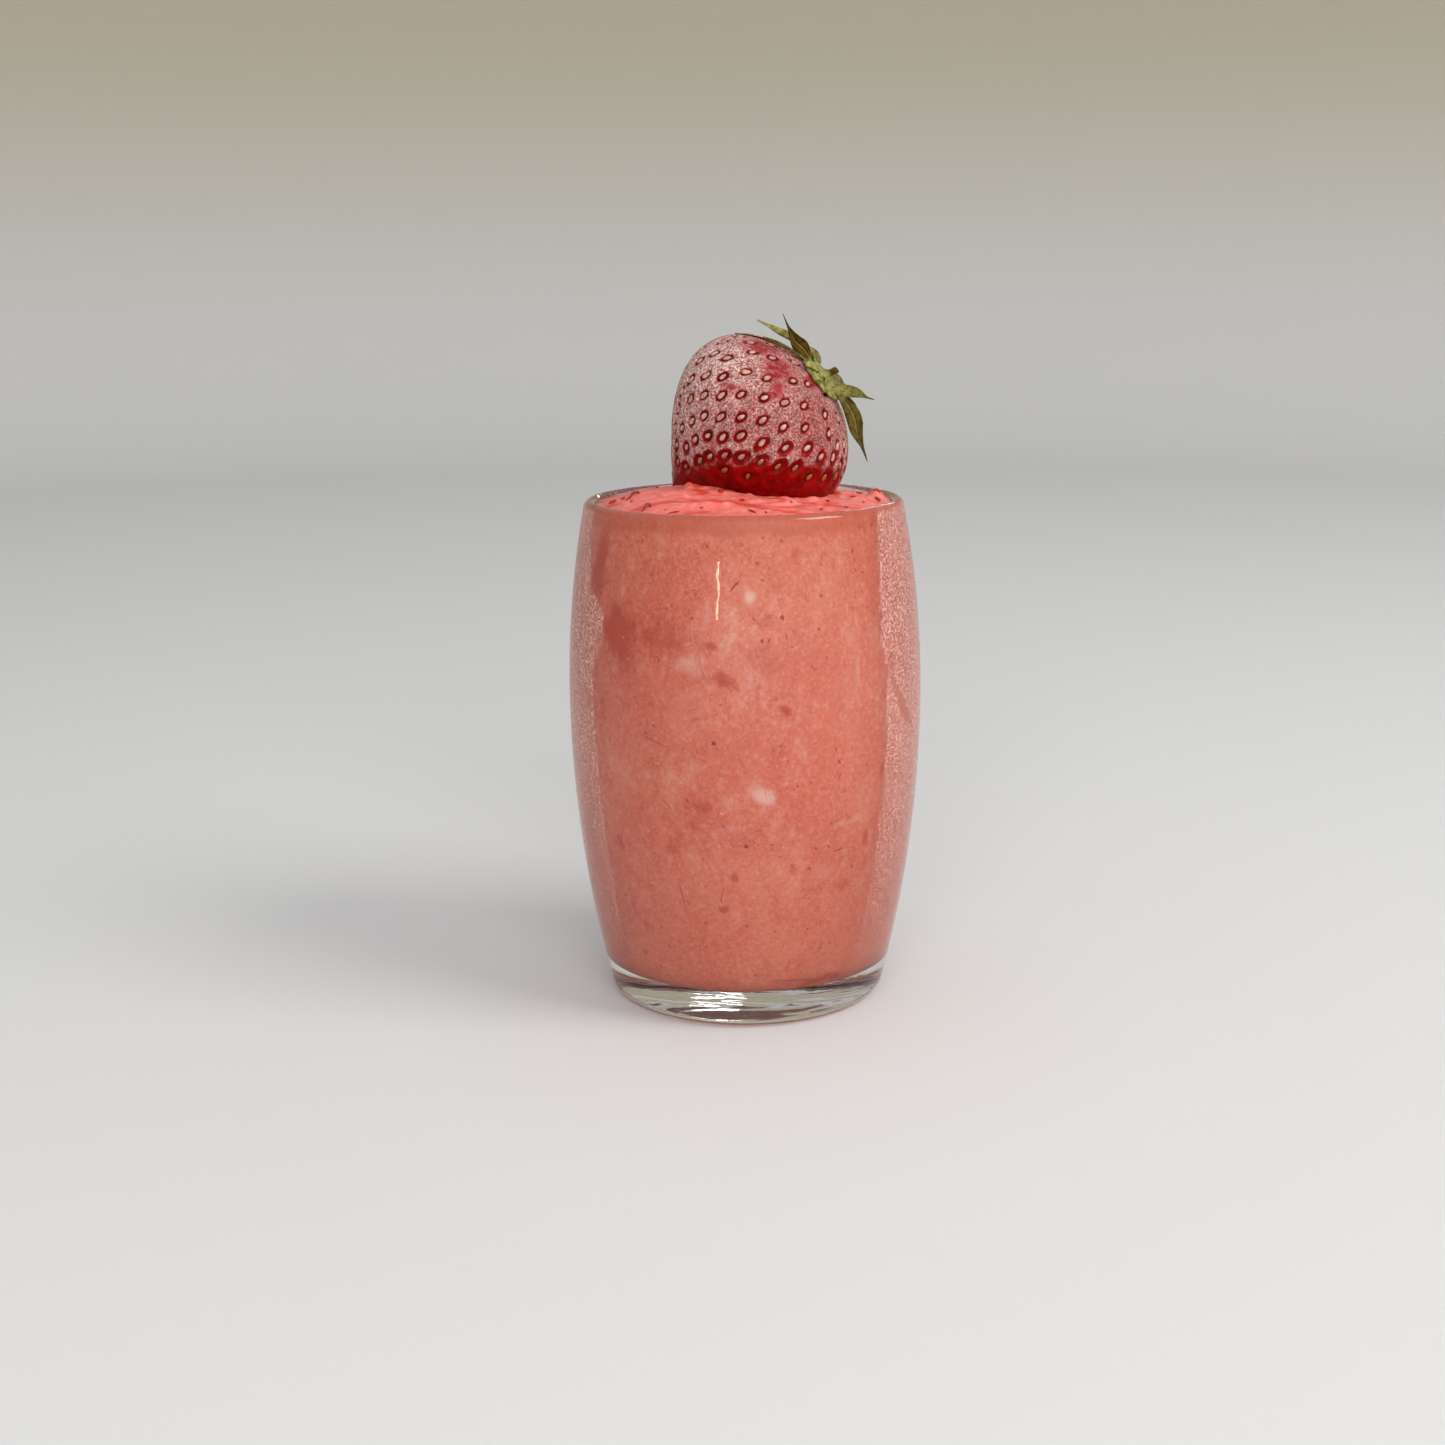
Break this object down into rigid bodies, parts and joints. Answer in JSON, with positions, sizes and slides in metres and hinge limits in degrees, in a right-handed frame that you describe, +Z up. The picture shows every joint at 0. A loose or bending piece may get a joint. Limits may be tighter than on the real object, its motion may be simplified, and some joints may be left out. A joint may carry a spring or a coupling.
{
  "type": "strawberry sorbet in a glass",
  "caption": "Pink strawberry sorbet filled to the brim of a small clear barrel glass, smeared to a low dome, with a frosted strawberry lying on top, its leaves to one side.",
  "frame": {"origin": "centre of the glass's foot, on the surface that the glass stands on", "axes": "+Z up along the glass's axis; +X towards the side that the strawberry's leaves point to; -Y towards the side that is seen first"},
  "size_m": [0.059, 0.059, 0.1137],
  "materials": {
    "glass": "clear glass, frosted with cold along its flanks",
    "sorbet": "coral pink sorbet, dense and smooth with flecks of fruit, moist on top",
    "strawberry": "red strawberry skin under pale frost, wet and bare near the sorbet",
    "calyx": "olive green leaves, soft sheen"
  },
  "bodies": {
    "root": {"glass": "glass", "sorbet": "sorbet", "strawberry": "strawberry", "calyx": "calyx"}
  },
  "joints": []
}
